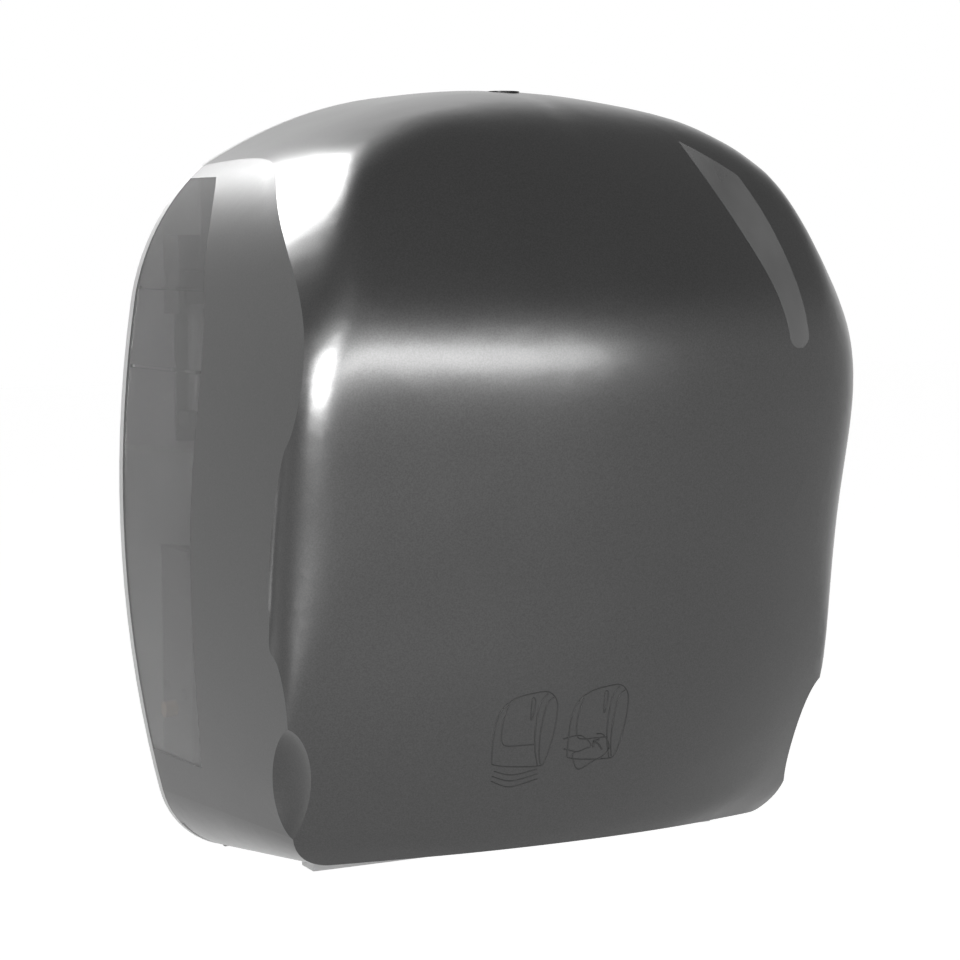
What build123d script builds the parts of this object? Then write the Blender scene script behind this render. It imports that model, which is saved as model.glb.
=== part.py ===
from build123d import *
import os
from math import asin, cos, exp, pi, radians, sin, sqrt, tan

os.makedirs("parts", exist_ok=True)

# A wall-mounted automatic roll towel dispenser, in millimetres.
# X runs to the viewer's right, Z up, and the front faces -Y. The wall is the plane y = 0.
# The origin is the middle of the four wall screw holes. Depths d are distances from the wall, y = -d.

# Overall form
half_width = 166.5          # widest half width, at the wall
top_height = 195.0          # top of the cover at the wall
bottom_height = -191.0      # lower edge of the cover, at the wall
bottom_rise = 0.165         # rise of the lower edge per mm of depth
front_depth = 220.0         # deepest point of the front panel
bulge_height = 64.0         # height of the deepest point
cover_wall = 2.8            # thickness of cover and windows
rear_gap = 4.3              # depth where the cover begins

# Side faces: an arch drawn in front view and tapered towards the front
side_radius = 620.0
side_centre = -5.0
shoulder_low = 90.0         # height where the shoulder starts, at the wall
shoulder_rise = 18.0        # and how much higher it starts at side_end
shoulder_radius = 112.0
shoulder_turn = radians(60.0)   # the shoulder runs into a straight gable at this turn
foot_radius_wall = 45.0
foot_radius_front = 4.0
side_taper = 0.097
side_end = front_depth + 15.0

# Crown: the rounded band between side faces and front panel
crown_depth = 223.6
crown_height = 50.0         # height where the upper rounding starts
crown_arch_radius = 197.0   # of the top, in front view
# How square the upper rounding is at each half width
crown_powers = [(0, 3.1), (40, 3.45), (75, 4.15), (95, 4.15), (110, 3.75), (117, 3.3),
                (124, 2.85), (132, 2.5), (142, 2.3), (160, 2.2), (175, 2.15)]
crown_hollow = 15.0         # how much the crown falls back below crown_height, and over what height
crown_hollow_height = 52.0
crown_extra = 0.05          # extra share of depth in the middle, which keeps it clear of the front panel
crown_extra_half = 120.0
crown_reach_mid = 170.0     # half width and power of its plan curve at crown_height
crown_plan_power_mid = 4.0
crown_low_height = -96.0    # and at this height, lower down
crown_reach_low = 160.0
crown_plan_power_low = 4.5
crown_chin = 160.0          # how fast it turns in below crown_low_height
crown_edge = 150.0          # the plan curve runs on evenly past this half width
crown_run_on = 0.0105
crease_round = 10.0         # rounding where crown and front panel meet
form_half = 170.0           # the front surface is drawn over this half width
form_columns = 56
form_rows = 42
form_centre = 20.0          # its points lie on rays from this height on the wall
form_first_turn = 98.0      # in degrees, from level
form_low = -215.0           # the surface runs straight on from its last row down to here
form_low_slope = 0.9
halvings = 40               # steps that find where a ray leaves the form
form_last_turn = -56.0
arch_steps = 12
wall_overrun = 20.0

# Front panel: crowned left to right, with its own lean
panel_radius_mid = 400.0
panel_radius_low = 262.0
panel_profile = [(-210, 128), (-185, 152), (-161, 172), (-130, 186), (-96, 196), (-40, 205.5),
                 (10, 214), (bulge_height, front_depth), (91, 216), (122, 202), (150, 185),
                 (165, 173), (180, 159), (210, 125)]

# Scoops behind the lower corners of the front panel
scoop_size = (19.0, 24.0, 42.0)
scoop_place = (150.0, 158.0, -132.0)
scoop_lean = 30.0

# Windows
side_window_bottom = -135.0
side_window_edge = [(151.0, 36), (137, 56), (124, 67), (108, 75), (92, 81), (65, 86), (18, 83),
                    (-25, 79), (-90, 71), (-135, 60)]
level_inner_edge = [(55, 167), (66, 140.5), (76, 120), (85, 100), (91.5, 77)]
level_foot = (98.5, 70)
level_outer_edge = [(104.5, 78), (101, 101), (93.5, 128), (83, 151)]
level_top_edge = (71, 158.5)
level_window_rear = 100.0
window_inner_x = 100.0
rib_heights = (57.5, 96.0)
rib_depth = 3.0
rib_thick = 1.6
rib_front = 78.0
rib_root = 1.0              # the ribs run this far into the window's wall

# Rear shell and chassis
shell_floor = 2.5
shell_rim = 4.0
shell_wall = 3.0
chassis_half = 122.0
chassis_thick = 3.0
chassis_top = 150.0
chassis_bottom = -148.0
chassis_front = shell_floor + chassis_thick
chassis_screw_places = [(-75, 130), (75, 130), (-75, -40), (75, -40), (0, -60), (-22, 160), (22, 160)]
screw_shank = 1.6
screw_head = 3.5
screw_head_high = 2.0
frame_pin_radius = 4.0
frame_pin_depth = 20.0
frame_pin_height = -112.0
wall_hole_radius = 2.75
wall_hole_x = 90.0
wall_hole_z = 105.0
chassis_ear = 9.0           # the plate reaches this far past the arm pivots
chassis_ear_high = 16.0     # and this far above and below the arms
chassis_tongue_half = 30.0
chassis_tongue_rise = 4.0
chassis_window = (60.0, -20.0, 110.0)   # half width, low and high edge

# Side frames
side_frame_x = 141.0
side_frame_thick = 3.0
side_frame_front = 45.0
side_frame_high = -33.0
side_frame_low = -135.0
side_flange_x = 146.5
side_flange_rear = 8.0
side_hole_radius = 3.0
side_holes = [(33.0, -103.0), (9.5, -102.0)]
side_foot_gap = 0.5          # between the frame's foot and the chassis plate
upper_frame_thick = 3.0
upper_frame_front = 24.0
upper_frame_top = 122.0
frame_pin_x = (133.0, 150.0)

# Cover hinge
hinge_depth = 15.0
hinge_height = -181.0
hinge_pin_radius = 3.0
hinge_lug_radius = 6.0
fixed_lug_x = 108.0
lug_thick = 4.0
lug_gap = 2.5
lug_rib_reach = 9.0
lug_rib_half = 4.0
mouth_top = -150.0          # the open underside of the cover is cut up to here

# Lock on top of the cover
lock_depth = 94.0
lock_head_radius = 8.0
lock_core_radius = 5.0
lock_height = 192.4
lock_length = 13.0
lock_nut_radius = 11.0
striker_thick = 3.0
cam_reach = 16.0
cam_width = 6.0
cam_thick = 2.5
keyway_half = 0.8
keyway_reach = 3.5
core_recess = 0.4           # the core's face lies this far under the barrel's
nut_thick = 3.0
cam_gap = 0.5               # between the turned cam and the striker
striker_gap_half = 6.0      # the cam passes here when it is unlocked
post_top = 168.0
post_thick = 5.0
post_half = 14.0
post_web_thick = 4.0
post_web_reach = 22.0
post_web_high = 14.0

# Roll holder for a roll of 200 mm diameter
roll_depth = 110.0
roll_height = 62.0
arm_x = 124.0
arm_thick = 3.0
arm_pivot_x = 127.0
arm_pivot_depth = 13.0
arm_pin_radius = 2.0
arm_knuckle_radius = 5.0
arm_low = 36.0
arm_high = 88.0
hub_shaft_radius = 4.0
hub_radius = 18.5
hub_flange_radius = 24.0
hub_inner_x = 96.0
hub_wide = 16.0
hub_flange_thick = 3.0
hub_edge = 3.0
hub_wall = 4.0
hub_neck_radius = 6.0
clip_radius = 6.5
clip_thick = 1.5
clip_gap = 0.5
shaft_end = 2.6             # the hub shaft stands this far out of the arm
bracket_half = 8.0
bracket_lug_high = 7.0
bracket_reach = 6.0
bracket_strip = (2.5, 2.0)  # width and thickness of the strip between the lugs
arm_elbow_depth = 62.0
arm_nose_half = 14.0
arm_hole_radius = 13.0
arm_hole_depth = 66.0
arm_boss_radius = 10.0
arm_boss_high = 5.0

# Drive
mech_x = 118.0
mech_thick = 3.0
mech_front = 116.0
mech_top = -40.0
mech_bottom = -150.0
feed_depth = 66.0
feed_height = -112.0
feed_shaft_radius = 4.0
feed_core_radius = 16.0
sleeve_radius = 19.0
pinch_radius = 9.0
pinch_gap = 0.3
pinch_shaft_radius = 3.0
pinch_pivot_depth = 100.0
pinch_pivot_height = -80.0
gear_module = 1.5
roller_teeth = 28
idler_teeth = 20
pinion_teeth = 10
tooth_addendum = 0.85       # in modules
tooth_dedendum = 1.2
tooth_root_share = 0.33     # half thickness of a tooth, as a share of the pitch
tooth_tip_share = 0.11
gear_width = 6.0
gear_x = 124.0
idler_direction = 100.0
pinion_direction = 55.0
motor_radius = 14.0
motor_length = 44.0
motor_shaft_radius = 1.5
motor_shaft_inside = 12.0
motor_boss_radius = 5.0
motor_boss_high = 3.0
idler_head_radius = 5.5
idler_head_high = 2.0
idler_head_gap = 0.5
hood_box = (28.0, 104.0, -146.0)    # rear and front depth, and low edge, of the gear cover
hood_reach = 7.0
hood_wall = 2.0
bush_radius = 7.0
knob_x = 124.0
knob_wide = 13.0
knob_radius = 17.0
beam_front = 120.0
beam_heights = (-104.0, -64.0)
bush_flange = 2.0
bush_flange_thick = 2.5
core_half = 104.0
sleeve_middles = (-66.0, 0.0, 66.0)
sleeve_half = 27.0
knob_grooves = 20
knob_groove_radius = 1.2
pinch_half = 111.0
cheek_thick = 3.0
cheek_edge = 6.0
tie_box = (97.0, 101.0, -96.0, -91.0)   # rear and front depth, low and high edge
spring_x = 108.0
spring_half = 3.0
spring_radius = 4.6

# Outlet
chute_half = 111.0
chute_front = 113.0
chute_rear = 77.0
chute_bottom = -178.0
chute_top = -146.0
chute_wall = 3.0
tooth_pitch = 4.0
tooth_height = 3.0
blade_side_gap = 2.0        # from each end of the blade to the chute's inner side
blade_half = chute_half - chute_wall - blade_side_gap
blade_thick = 0.8
blade_high = 22.0
blade_rise = 6.0            # the teeth end this far above the chute's lower edge
front_lip = 14.0            # depth of the chute's front that reaches all the way down
chute_ear = 4.0
guide_section = [(-chute_rear, chute_top), (-chute_rear - 2.5, chute_top), (-88.5, -133.0), (-86.5, -132.0)]
guide_half = 104.0

# Batteries and controls
cell_radius = 16.5
cell_length = 60.0
box_wall = 2.0
cell_depth = 140.2
cell_gap = 0.6              # between the cells, and from them to the contacts
box_side = 2.0              # outer wall past the contacts
cell_rows = (-85.0, -121.0)
button_radius = 6.0
button_travel = 2.0
button_place = (-92.0, -82.0)
selector_place = (-97.0, -116.0)
selector_travel = 8.0
sensor_low = -158.0
sensor_radius = 5.0
sensor_half = 26.0
sensor_reach = 30.0
lid_thick = 2.0
contact_thick = 0.8
contact_half = 8.0
panel_edges = (-114.0, -70.0, -68.0)    # left, right and upper edge
panel_thick = 4.0
button_reach = 9.0
selector_half = 5.0
selector_high = 3.0
post_long = 3.0
board_post_radius = 2.5
board_thick = 1.6
board_edges = (72.0, 112.0, -138.0, -70.0)  # left, right, low and upper edge
# Left edge, low edge, width, height and thickness of each block on the board
board_blocks = [(80.0, -98.0, 14.0, 14.0, 2.4), (98.0, -94.0, 8.0, 8.0, 4.4), (78.0, -130.0, 12.0, 12.0, 6.4)]
board_can = (102.0, -122.0, 4.0, 8.4)       # place, radius and length of the capacitor

# Clearances
running_gap = 0.05
loose_gap = 0.3


def block(x0, x1, d0, d1, z0, z1):
    """A box between two x values, two depths and two heights."""
    middle = Pos((x0 + x1) / 2, -(d0 + d1) / 2, (z0 + z1) / 2)
    return middle * Box(abs(x1 - x0), abs(d1 - d0), abs(z1 - z0))


def rod_x(radius, x0, x1, d, z):
    return Pos((x0 + x1) / 2, -d, z) * Rot(0, 90, 0) * Cylinder(radius, abs(x1 - x0))


def rod_y(radius, d0, d1, x, z):
    return Pos(x, -(d0 + d1) / 2, z) * Rot(90, 0, 0) * Cylinder(radius, abs(d1 - d0))


def rod_z(radius, z0, z1, x, d):
    return Pos(x, -d, (z0 + z1) / 2) * Cylinder(radius, abs(z1 - z0))


def other_side(shape):
    return mirror(shape, about=Plane.YZ)


def write(name, shape):
    export_step(shape, "parts/" + name + ".step")


def smooth_value(points, value):
    """Read a value from a smooth curve through points given in rising order."""
    slopes = []
    for (u0, v0), (u1, v1) in zip(points, points[1:]):
        slopes.append((v1 - v0) / (u1 - u0))
    bends = [slopes[0]] + [(a + b) / 2.0 for a, b in zip(slopes, slopes[1:])] + [slopes[-1]]
    for index, ((u0, v0), (u1, v1)) in enumerate(zip(points, points[1:])):
        if value <= u1 or u1 == points[-1][0]:
            span = u1 - u0
            t = (value - u0) / span
            return ((1 + 2 * t) * (1 - t) ** 2 * v0 + t * (1 - t) ** 2 * span * bends[index]
                    + t * t * (3 - 2 * t) * v1 + t * t * (t - 1) * span * bends[index + 1])


# Outer form

def side_arch(inset, depth, lift):
    """Front-view outline of the side faces at one depth, as a face. The lift raises its lower edge."""
    low = bottom_height + bottom_rise * depth + lift
    foot_radius = foot_radius_wall + (foot_radius_front - foot_radius_wall) * depth / side_end
    a = half_width - inset - side_taper * depth
    centre_x = a - side_radius
    shoulder_start = shoulder_low + shoulder_rise * depth / side_end
    start_x = centre_x + sqrt(side_radius ** 2 - (shoulder_start - side_centre) ** 2)
    tilt = asin((shoulder_start - side_centre) / side_radius)
    shoulder_x = start_x - shoulder_radius * cos(tilt)
    shoulder_z = shoulder_start - shoulder_radius * sin(tilt)
    gable_x = shoulder_x + shoulder_radius * cos(shoulder_turn)
    gable_z = shoulder_z + shoulder_radius * sin(shoulder_turn)
    peak_z = gable_z + gable_x / tan(shoulder_turn)
    bottom = (low + foot_radius - foot_radius * side_centre / side_radius) / (1.0 - foot_radius / side_radius)
    foot_x = centre_x + sqrt(side_radius ** 2 - (bottom - side_centre) ** 2)
    lean = asin((side_centre - bottom) / side_radius)
    foot_centre = (foot_x - foot_radius * cos(lean), bottom + foot_radius * sin(lean))
    right = [(gable_x, gable_z), (start_x, shoulder_start), (foot_x, bottom)]
    half_turn = (shoulder_turn + tilt) / 2
    shoulder_mid = (shoulder_x + shoulder_radius * cos(half_turn),
                    shoulder_z + shoulder_radius * sin(half_turn))
    side_mid = (centre_x + side_radius, side_centre)
    foot_low = (foot_centre[0], foot_centre[1] - foot_radius)
    foot_turn = (-lean - pi / 2) / 2
    foot_mid = (foot_centre[0] + foot_radius * cos(foot_turn), foot_centre[1] + foot_radius * sin(foot_turn))

    def left(point):
        return (-point[0], point[1])

    edges = [Line((0, peak_z), right[0]),
             ThreePointArc(right[0], shoulder_mid, right[1]),
             ThreePointArc(right[1], side_mid, right[2]),
             ThreePointArc(right[2], foot_mid, foot_low),
             Line(foot_low, left(foot_low)),
             ThreePointArc(left(foot_low), left(foot_mid), left(right[2])),
             ThreePointArc(left(right[2]), left(side_mid), left(right[1])),
             ThreePointArc(left(right[1]), left(shoulder_mid), left(right[0])),
             Line(left(right[0]), (0, peak_z))]
    face = make_face(edges)
    return Plane((0, -depth, 0), x_dir=(1, 0, 0), z_dir=(0, -1, 0)) * face


def side_body(inset, lift):
    return loft([side_arch(inset, -1.0, lift), side_arch(inset, side_end, lift)], ruled=True)


def crown_share(x, z):
    """How much of the centre's depth the crown keeps at x. Past the side faces it runs on evenly."""
    fall = min(max((crown_height - z) / (crown_height - crown_low_height), 0.0), 1.0)
    reach = crown_reach_mid + (crown_reach_low - crown_reach_mid) * fall
    power = crown_plan_power_mid + (crown_plan_power_low - crown_plan_power_mid) * fall
    inside = min(abs(x), crown_edge)
    share = (1.0 - (inside / reach) ** power) ** (1.0 / power)
    extra = crown_extra * max(1.0 - (x / crown_extra_half) ** 2, 0.0) ** 2
    return share + extra - (abs(x) - inside) * crown_run_on


def crown_lower_depth(z):
    depth = crown_depth - crown_hollow * (1.0 - exp(-((crown_height - z) / crown_hollow_height) ** 2))
    return depth - max(crown_low_height - z, 0.0) ** 2 / crown_chin


def in_crown(x, depth, z, inset):
    if z < crown_height:
        return depth < crown_lower_depth(z) * crown_share(x, z) - inset
    rise = (z - crown_height) / (top_height - x * x / (2.0 * crown_arch_radius) - inset - crown_height)
    reach = max(depth, 0.0) / (crown_depth * crown_share(x, crown_height) - inset)
    power = smooth_value(crown_powers, abs(x))
    return rise ** power + reach ** power < 1.0


def panel_depth(x, z):
    """Depth of the front panel: a lean read from its centre line, less the crown from left to right."""
    share = min(max((bulge_height - z) / (bulge_height - bottom_height), 0.0), 1.0)
    radius = panel_radius_mid + (panel_radius_low - panel_radius_mid) * share
    return smooth_value(panel_profile, z) - x * x / (2.0 * radius)


def in_panel(x, depth, z, inset):
    return depth < panel_depth(x, z) - inset


def way_out(inside, x, turn, inset):
    """How far the ray at this turn stays inside."""
    near = 0.0
    far = 2.0 * front_depth
    for _ in range(halvings):
        middle = (near + far) / 2.0
        if inside(x, middle * cos(turn), form_centre + middle * sin(turn), inset):
            near = middle
        else:
            far = middle
    return near


def front_point(x, turn, inset):
    """Where the ray leaves both crown and front panel, with their crease rounded."""
    crown = way_out(in_crown, x, turn, inset)
    panel = way_out(in_panel, x, turn, inset)
    overlap = max(crease_round - abs(crown - panel), 0.0) / crease_round
    reach = min(crown, panel) - overlap * overlap * crease_round / 4.0
    return Vector(x, -reach * cos(turn), form_centre + reach * sin(turn))


def even_steps(low, high, count):
    return [low + (high - low) * index / count for index in range(count + 1)]


def front_column(x, inset):
    column = [front_point(x, radians(turn), inset)
              for turn in even_steps(form_first_turn, form_last_turn, form_rows)]
    last = column[-1]
    column.append(Vector(x, last.Y + (last.Z - form_low) * form_low_slope, form_low))
    return column


def front_body(inset):
    """The solid behind the smooth front and top surface, reaching past the wall."""
    grid = [front_column(x, inset) for x in even_steps(-form_half, form_half, form_columns)]
    face = Face.make_surface_from_array_of_points(grid, tol=0.02)
    return Solid.extrude(face, Vector(0, front_depth + 4 * wall_overrun, 0))


def scoops(grow):
    sx, sd, sz = scoop_size
    ball = scale(Sphere(1.0), by=(sx + grow, sd + grow, sz + grow))
    x, d, z = scoop_place
    right = Pos(x, -d, z) * Rot(scoop_lean, 0, 0) * ball
    return [right, other_side(right)]


def whole_form(inset, lift):
    form = side_body(inset, lift) & front_body(inset)
    for scoop in scoops(inset):
        form = form - scoop
    return form


# Cover and its windows

def side_window_region():
    """Where the left side window lies: everything behind the curved parting line."""
    line = [(-depth, z) for z, depth in side_window_edge]
    top_z = side_window_edge[0][0]
    edges = [Spline(*line),
             Line(line[-1], (-rear_gap, side_window_bottom)),
             Line((-rear_gap, side_window_bottom), (-rear_gap, top_z)),
             Line((-rear_gap, top_z), line[0])]
    face = Plane.YZ.offset(-half_width - 5.0) * make_face(edges)
    return extrude(face, amount=half_width + 5.0 - window_inner_x, dir=(1, 0, 0))


def level_window_region():
    """The curved blade of the level window, drawn in front view."""
    inner = level_inner_edge
    outer = level_outer_edge
    edges = [Spline(*inner),
             ThreePointArc(inner[-1], level_foot, outer[0]),
             Spline(*outer),
             ThreePointArc(outer[-1], level_top_edge, inner[0])]
    face = Plane.XZ.offset(level_window_rear) * make_face(edges)
    return extrude(face, amount=front_depth + 20.0 - level_window_rear, dir=(0, -1, 0))


def window_ribs():
    """Two level ribs inside the left side window."""
    band = side_body(cover_wall - rib_root, 0.0) - side_body(cover_wall + rib_depth, 0.0)
    ribs = None
    for z in rib_heights:
        slab = block(-half_width, -window_inner_x, rear_gap + 1.0, rib_front, z, z + rib_thick)
        ribs = slab if ribs is None else ribs + slab
    return band & ribs


def hinge_disc(radius, x0, x1):
    return rod_x(radius, x0, x1, hinge_depth, hinge_height)


def cover_lug(outer):
    """Moulded ear on the right inside of the cover that turns on the hinge pin."""
    x0 = fixed_lug_x + lug_thick + lug_gap
    x1 = x0 + lug_thick
    rib = block(x1 - 0.5, half_width, hinge_depth - 1.0, hinge_depth + lug_rib_reach,
                hinge_height - lug_rib_half, hinge_height + lug_rib_half)
    return hinge_disc(hinge_lug_radius, x0, x1) + (rib & outer)


def make_cover():
    outer = whole_form(0.0, 0.0)
    front_in = front_body(cover_wall)
    inner = side_body(cover_wall, cover_wall) & front_in
    mouth_x = fixed_lug_x + lug_thick + lug_gap - 1.0
    mouth = block(-mouth_x, mouth_x, -1.0, front_depth, bottom_height - 5.0, mouth_top)
    mouth = mouth & front_in
    for scoop in scoops(cover_wall):
        inner = inner - scoop
        mouth = mouth - scoop
    shell = outer - inner - mouth
    shell = shell - block(-half_width - 5, half_width + 5, -5.0, rear_gap, bottom_height - 5, top_height + 10)
    notch_d = hinge_depth - hinge_lug_radius
    shell = shell - block(-half_width, half_width, 0.0, notch_d, bottom_height - 5.0, hinge_height + 7.0)
    left_region = side_window_region()
    window_left = shell & left_region
    level_region = level_window_region()
    level = shell & level_region
    cover = shell - left_region - other_side(left_region) - level_region
    cover = cover - rod_z(lock_head_radius, lock_height - 40.0, lock_height + 20.0, 0.0, lock_depth)
    lug = cover_lug(outer)
    cover = cover + lug + other_side(lug)
    bore = hinge_disc(hinge_pin_radius + running_gap, 0.0, fixed_lug_x + 2 * lug_thick + lug_gap + 1.0)
    cover = cover - bore - other_side(bore)
    window_left = window_left + (window_ribs() & outer)
    write("front_cover", cover)
    write("side_window_left", window_left)
    write("side_window_right", other_side(window_left))
    write("level_window", level)


# Lock

def make_lock():
    low = lock_height - lock_length
    barrel = rod_z(lock_head_radius, low, lock_height, 0.0, lock_depth)
    bore = rod_z(lock_core_radius + running_gap, low - 1.0, lock_height + 1.0, 0.0, lock_depth)
    nut = rod_z(lock_nut_radius, low + 0.5, low + 0.5 + nut_thick, 0.0, lock_depth)
    nut = nut - rod_z(lock_head_radius, low, low + nut_thick + 1.0, 0.0, lock_depth)
    core = rod_z(lock_core_radius, low - loose_gap, lock_height - core_recess, 0.0, lock_depth)
    keyway = block(-keyway_half, keyway_half, lock_depth - keyway_reach, lock_depth + keyway_reach,
                   lock_height - 4.0, lock_height + 1.0)
    cam_top = low - loose_gap
    cam = block(-cam_width / 2, cam_width / 2, lock_depth - cam_reach, lock_depth + cam_width / 2,
                cam_top - cam_thick, cam_top)
    write("lock_barrel", barrel - bore)
    write("lock_nut", nut)
    write("lock_core", core - keyway)
    write("lock_cam", cam)


def make_latch_post():
    """A shelf from the chassis with two striker tabs, which the turned cam catches behind."""
    front = lock_depth + cam_width / 2 + cam_gap + striker_thick
    under = post_top - post_thick
    post = block(-post_half, post_half, chassis_front, front, under, post_top)
    post = post + block(-post_web_thick / 2, post_web_thick / 2, chassis_front,
                        chassis_front + post_web_reach, under - post_web_high, under)
    edge = lock_height - lock_length
    for side in (-1, 1):
        post = post + block(side * striker_gap_half, side * post_half, front - striker_thick, front,
                            post_top, edge)
    write("latch_post", post)


# Rear shell and chassis

def wall_holes():
    holes = []
    for x in (-wall_hole_x, wall_hole_x):
        for z in (-wall_hole_z, wall_hole_z):
            holes.append(rod_y(wall_hole_radius, -1.0, chassis_front + 1.0, x, z))
    return holes


def arch_slab(inset, d0, d1):
    """Everything under the top arch, between two depths close to the wall."""
    arch = [(x, top_height - inset - x * x / (2.0 * crown_arch_radius))
            for x in even_steps(-form_half, form_half, arch_steps)]
    foot = bottom_height - wall_overrun
    edges = [Spline(*arch),
             Line(arch[-1], (form_half, foot)),
             Line((form_half, foot), (-form_half, foot)),
             Line((-form_half, foot), arch[0])]
    face = Plane((0, -d0, 0), x_dir=(1, 0, 0), z_dir=(0, -1, 0)) * make_face(edges)
    return extrude(face, amount=d1 - d0, dir=(0, -1, 0))


def make_back_shell():
    rim = side_body(0.0, 0.0) & arch_slab(0.0, 0.0, shell_rim)
    pocket = side_body(shell_wall, shell_wall) & arch_slab(shell_wall, shell_floor, shell_rim + 2.0)
    shell = rim - pocket
    for hole in wall_holes():
        shell = shell - hole
    lug = hinge_disc(hinge_lug_radius, fixed_lug_x, fixed_lug_x + lug_thick)
    web = block(fixed_lug_x, fixed_lug_x + lug_thick, shell_floor, hinge_depth,
                hinge_height - hinge_lug_radius, hinge_height + hinge_lug_radius)
    lug = lug + web - hinge_disc(hinge_pin_radius, fixed_lug_x - 1.0, fixed_lug_x + lug_thick + 1.0)
    shell = shell + lug + other_side(lug)
    write("back_shell", shell)
    pin = hinge_disc(hinge_pin_radius, fixed_lug_x - 1.5, fixed_lug_x + 2 * lug_thick + lug_gap + 0.5)
    write("hinge_pins", Compound(children=[other_side(pin), pin]))


def make_chassis():
    plate = block(-chassis_half, chassis_half, shell_floor, chassis_front, chassis_bottom, chassis_top)
    ear = arm_pivot_x + chassis_ear
    plate = plate + block(-ear, ear, shell_floor, chassis_front, arm_low - chassis_ear_high,
                          arm_high + chassis_ear_high)
    plate = plate + block(-chassis_tongue_half, chassis_tongue_half, shell_floor, chassis_front,
                          chassis_top, post_top + chassis_tongue_rise)
    half, low, high = chassis_window
    plate = plate - block(-half, half, 0.0, chassis_front + 1.0, low, high)
    for hole in wall_holes():
        plate = plate - hole
    for x, z in chassis_screw_places:
        plate = plate - rod_y(screw_shank, 0.0, 10.0, x, z)
    write("chassis", plate)
    screws = []
    for x, z in chassis_screw_places:
        shank = rod_y(screw_shank, shell_floor, chassis_front, x, z)
        screws.append(shank + rod_y(screw_head, chassis_front, chassis_front + screw_head_high, x, z))
    write("chassis_screws", Compound(children=screws))


def make_side_frames():
    outer = side_frame_x + side_frame_thick
    foot = chassis_half + side_foot_gap
    plate = block(side_frame_x, outer, shell_floor, side_frame_front, side_frame_low, side_frame_high)
    plate = plate + block(foot, side_frame_x, shell_floor, chassis_front, side_frame_low, side_frame_high)
    plate = plate + block(side_frame_x, side_flange_x, side_flange_rear, side_frame_front,
                          side_frame_high - 2.0, side_frame_high + 2.0)
    plate = plate - rod_x(frame_pin_radius, side_frame_x - 3.0, outer + 3.0,
                          frame_pin_depth, frame_pin_height)
    for depth, z in side_holes:
        plate = plate - rod_x(side_hole_radius, side_frame_x - 3.0, outer + 3.0, depth, z)
    write("side_frame_right", plate)
    write("side_frame_left", other_side(plate))

    inner = side_frame_x - upper_frame_thick
    knee = arm_high + chassis_ear_high + 1.0
    upper = block(inner, side_frame_x, shell_floor, upper_frame_front, arm_high - 4.0, upper_frame_top)
    upper = upper + block(foot, side_frame_x, shell_floor, chassis_front, knee, upper_frame_top)
    write("upper_frames", Compound(children=[other_side(upper), upper]))
    pin = rod_x(frame_pin_radius, frame_pin_x[0], frame_pin_x[1], frame_pin_depth, frame_pin_height)
    write("frame_pins", Compound(children=[other_side(pin), pin]))


# Roll holder

def make_arm_mount():
    """The two-lug brackets on the chassis and the pins that the arms swing on."""
    low = arm_low - 1.0
    high = arm_high + 0.5
    near = arm_pivot_x - bracket_half
    bracket = block(near, near + bracket_strip[0], chassis_front, chassis_front + bracket_strip[1],
                    low - bracket_lug_high, high + bracket_lug_high)
    for z0, z1 in ((low - bracket_lug_high, low), (high, high + bracket_lug_high)):
        lug = block(near, arm_pivot_x + bracket_half, chassis_front, arm_pivot_depth + bracket_reach, z0, z1)
        bracket = bracket + lug - rod_z(arm_pin_radius, z0 - 1.0, z1 + 1.0, arm_pivot_x, arm_pivot_depth)
    write("arm_brackets", Compound(children=[other_side(bracket), bracket]))
    pin = rod_z(arm_pin_radius, low - bracket_lug_high - 1.0, high + bracket_lug_high + 1.0,
                arm_pivot_x, arm_pivot_depth)
    write("arm_pins", Compound(children=[other_side(pin), pin]))


def make_arms():
    outer = arm_x + arm_thick
    outline = [(-arm_pivot_depth, arm_low + 1.0), (-arm_pivot_depth, arm_high - 1.0),
               (-arm_elbow_depth, arm_high - 4.0), (-roll_depth, roll_height + arm_nose_half),
               (-roll_depth, roll_height - arm_nose_half), (-arm_elbow_depth, arm_low + 6.0)]
    blade = make_face(Polyline(*outline, close=True))
    arm = extrude(Plane.YZ.offset(arm_x) * blade, amount=arm_thick, dir=(1, 0, 0))
    arm = arm + rod_x(arm_nose_half, arm_x, outer, roll_depth, roll_height)
    arm = arm - rod_x(arm_hole_radius, arm_x - 1.0, outer + 1.0, arm_hole_depth, roll_height)
    arm = arm + rod_z(arm_knuckle_radius, arm_low, arm_high, arm_pivot_x, arm_pivot_depth)
    arm = arm + rod_x(arm_boss_radius, arm_x - arm_boss_high, outer, roll_depth, roll_height)
    arm = arm - rod_z(arm_pin_radius + running_gap, arm_low - 1.0, arm_high + 1.0,
                      arm_pivot_x, arm_pivot_depth)
    arm = arm - rod_x(hub_shaft_radius + running_gap, arm_x - arm_boss_high - 1.0, outer + 1.0,
                      roll_depth, roll_height)
    write("roll_arm_right", arm)
    write("roll_arm_left", other_side(arm))


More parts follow.
